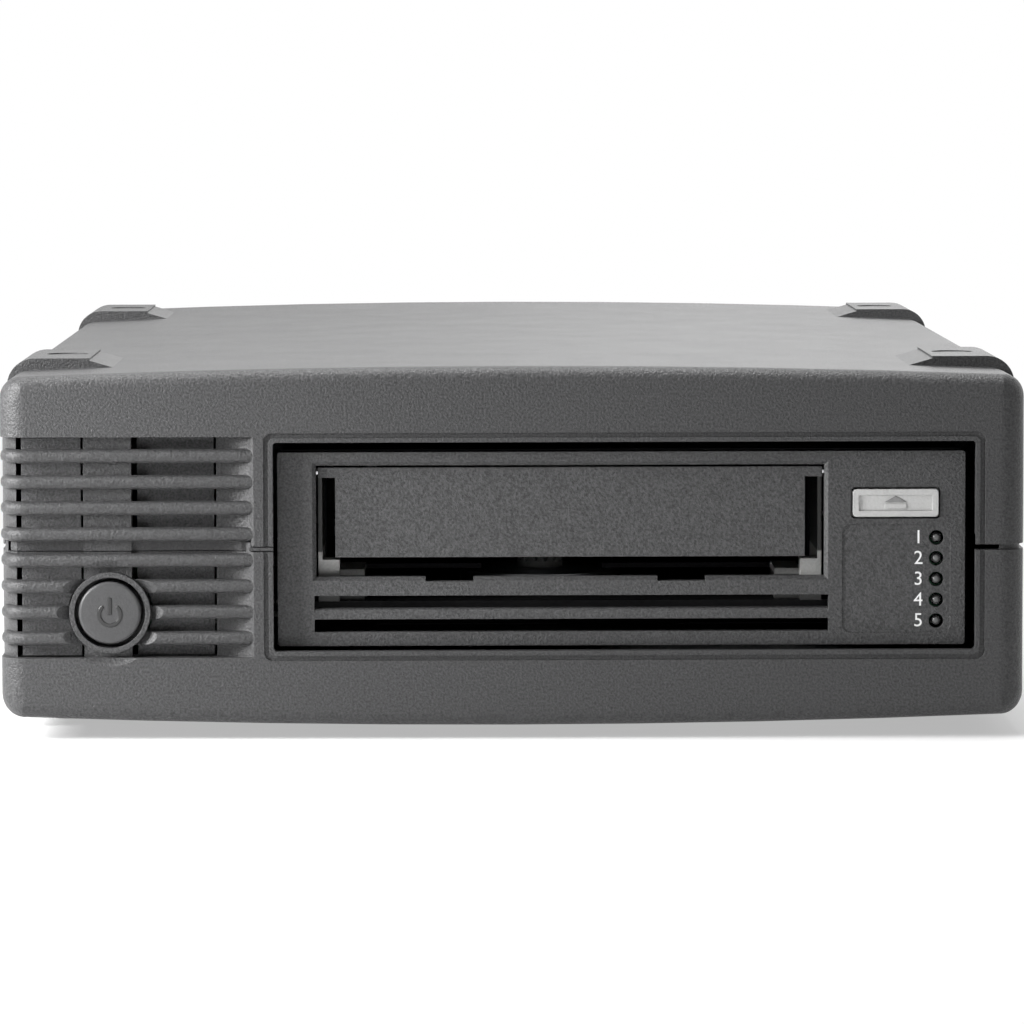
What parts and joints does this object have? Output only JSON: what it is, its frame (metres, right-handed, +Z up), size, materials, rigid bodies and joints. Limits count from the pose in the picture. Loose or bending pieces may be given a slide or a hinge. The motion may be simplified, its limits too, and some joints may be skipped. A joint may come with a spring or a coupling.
{
  "type": "external data tape drive",
  "caption": "External data tape drive: two-shell plastic case with a wrap-round ribbed grille, cartridge slot with a swing-in door, power and eject buttons, rear ports and fan.",
  "frame": {"origin": "centre of the bounding box's bottom, on the plane that the feet stand on", "axes": "+X to the right as seen from the front, +Y from the front to the back, +Z up"},
  "size_m": [0.22, 0.312, 0.0808],
  "materials": {
    "case_plastic": "fine moulded texture",
    "baffle_plastic": "moulded, dark",
    "panel_steel": "zinc-plated sheet",
    "contact_metal": "plated contact",
    "foot_rubber": "soft, dark",
    "screw_steel": "plated",
    "circuit_board": "solder mask",
    "chip_plastic": "epoxy package",
    "connector_plastic": "moulded",
    "winding": "varnished",
    "capacitor_sleeve": "sleeved",
    "cast_aluminium": "as cast",
    "drive_plastic": "coarse moulded texture",
    "button_plastic": "moulded, light",
    "lamp_lens": "dark, unlit",
    "motor_metal": "plated can",
    "reel_plastic": "moulded",
    "guide_plastic": "moulded, light",
    "carriage_metal": "blackened sheet",
    "roller_metal": "ground",
    "lead_rubber": "sleeved"
  },
  "bodies": {
    "case": {"top_shell": "case_plastic", "bottom_shell": "case_plastic", "vent_baffle": "baffle_plastic", "rear_panel": "panel_steel", "mains_inlet": "baffle_plastic", "inlet_blades": "contact_metal", "fan_frame": "baffle_plastic", "rubber_feet": "foot_rubber", "case_screws": "screw_steel", "panel_screws": "screw_steel", "fan_screws": "screw_steel", "data_receptacles": "panel_steel", "interface_board": "circuit_board", "interface_chips": "chip_plastic", "power_switch_board": "circuit_board", "supply_bracket": "panel_steel", "supply_board": "circuit_board", "supply_magnetics": "winding", "supply_capacitors": "capacitor_sleeve", "supply_heat_sinks": "cast_aluminium", "supply_terminals": "connector_plastic", "drive_bezel": "drive_plastic", "indicator_lenses": "lamp_lens", "front_board": "circuit_board", "lamps_and_switch": "connector_plastic", "drive_chassis": "cast_aluminium", "drive_cover": "panel_steel", "drive_base_cover": "panel_steel", "clutch_motor": "motor_metal", "takeup_motor": "motor_metal", "roller_plate": "panel_steel", "head_base": "cast_aluminium", "carriage_guides": "guide_plastic", "loader_motor": "motor_metal", "loader_bracket": "panel_steel", "threader_bridge": "panel_steel", "drive_board": "circuit_board", "board_chips": "chip_plastic", "drive_connectors": "connector_plastic", "drive_rails": "panel_steel", "drive_screws": "screw_steel", "post_screws": "screw_steel", "supply_leads": "lead_rubber", "power_leads": "lead_rubber", "data_lead": "lead_rubber"},
    "door": {"drive_door": "drive_plastic", "door_pins": "screw_steel"},
    "eject": {"eject_button": "button_plastic"},
    "power": {"power_button": "case_plastic"},
    "clutch": {"reel_clutch": "reel_plastic"},
    "takeup": {"takeup_reel": "reel_plastic"},
    "roller_1": {"tape_roller_1": "roller_metal"},
    "roller_2": {"tape_roller_2": "roller_metal"},
    "roller_3": {"tape_roller_3": "roller_metal"},
    "roller_4": {"tape_roller_4": "roller_metal"},
    "head": {"tape_head": "roller_metal"},
    "carriage": {"cartridge_carriage": "carriage_metal"},
    "loader": {"loader_gear": "reel_plastic"},
    "threader": {"threader_arm": "reel_plastic"},
    "fan": {"fan_rotor": "baffle_plastic"}
  },
  "joints": [
    {"name": "door_hinge", "type": "hinge", "parent": "case", "child": "door", "pos_m": [0.01245, -0.1496, 0.0571], "axis": [1, 0, 0], "range_deg": [0, 88], "stiffness_Nm_per_rad": 0.002, "springref_deg": -17.19},
    {"name": "eject_press", "type": "slide", "parent": "case", "child": "eject", "axis": [0, 1, 0], "range_m": [0, 0.001], "stiffness_N_per_m": 300, "springref_m": -0.0008},
    {"name": "power_press", "type": "slide", "parent": "case", "child": "power", "axis": [0, 1, 0], "range_m": [0, 0.0015], "stiffness_N_per_m": 300, "springref_m": -0.0008},
    {"name": "clutch_spin", "type": "hinge", "parent": "case", "child": "clutch", "pos_m": [0.0068, -0.095, 0.033], "axis": [0, 0, 1], "continuous": true},
    {"name": "takeup_spin", "type": "hinge", "parent": "case", "child": "takeup", "pos_m": [0.014, 0.01, 0.042], "axis": [0, 0, 1], "continuous": true},
    {"name": "roller_1_spin", "type": "hinge", "parent": "case", "child": "roller_1", "pos_m": [-0.035, -0.034, 0.04], "axis": [0, 0, 1], "continuous": true},
    {"name": "roller_2_spin", "type": "hinge", "parent": "case", "child": "roller_2", "pos_m": [-0.033, -0.018, 0.04], "axis": [0, 0, 1], "continuous": true},
    {"name": "roller_3_spin", "type": "hinge", "parent": "case", "child": "roller_3", "pos_m": [-0.033, 0.018, 0.04], "axis": [0, 0, 1], "continuous": true},
    {"name": "roller_4_spin", "type": "hinge", "parent": "case", "child": "roller_4", "pos_m": [-0.035, 0.034, 0.04], "axis": [0, 0, 1], "continuous": true},
    {"name": "head_shift", "type": "slide", "parent": "case", "child": "head", "axis": [0, 0, 1], "range_m": [-0.003, 0.003]},
    {"name": "carriage_slide", "type": "slide", "parent": "case", "child": "carriage", "axis": [0, 1, 0], "range_m": [0, 0.008]},
    {"name": "loader_spin", "type": "hinge", "parent": "case", "child": "loader", "pos_m": [0.07575, -0.08, 0.0385], "axis": [0, 0, 1], "range_deg": [-65.5, 0]},
    {"name": "threader_swing", "type": "hinge", "parent": "case", "child": "threader", "pos_m": [0.014, 0.01, 0.052], "axis": [0, 0, 1], "range_deg": [-40, 45]},
    {"name": "fan_spin", "type": "hinge", "parent": "case", "child": "fan", "pos_m": [0.056, 0.134, 0.0415], "axis": [0, 1, 0], "continuous": true}
  ],
  "couplings": [
    {"joint": "loader_spin", "follows": "carriage_slide", "rad_per_m": -142.86}
  ]
}
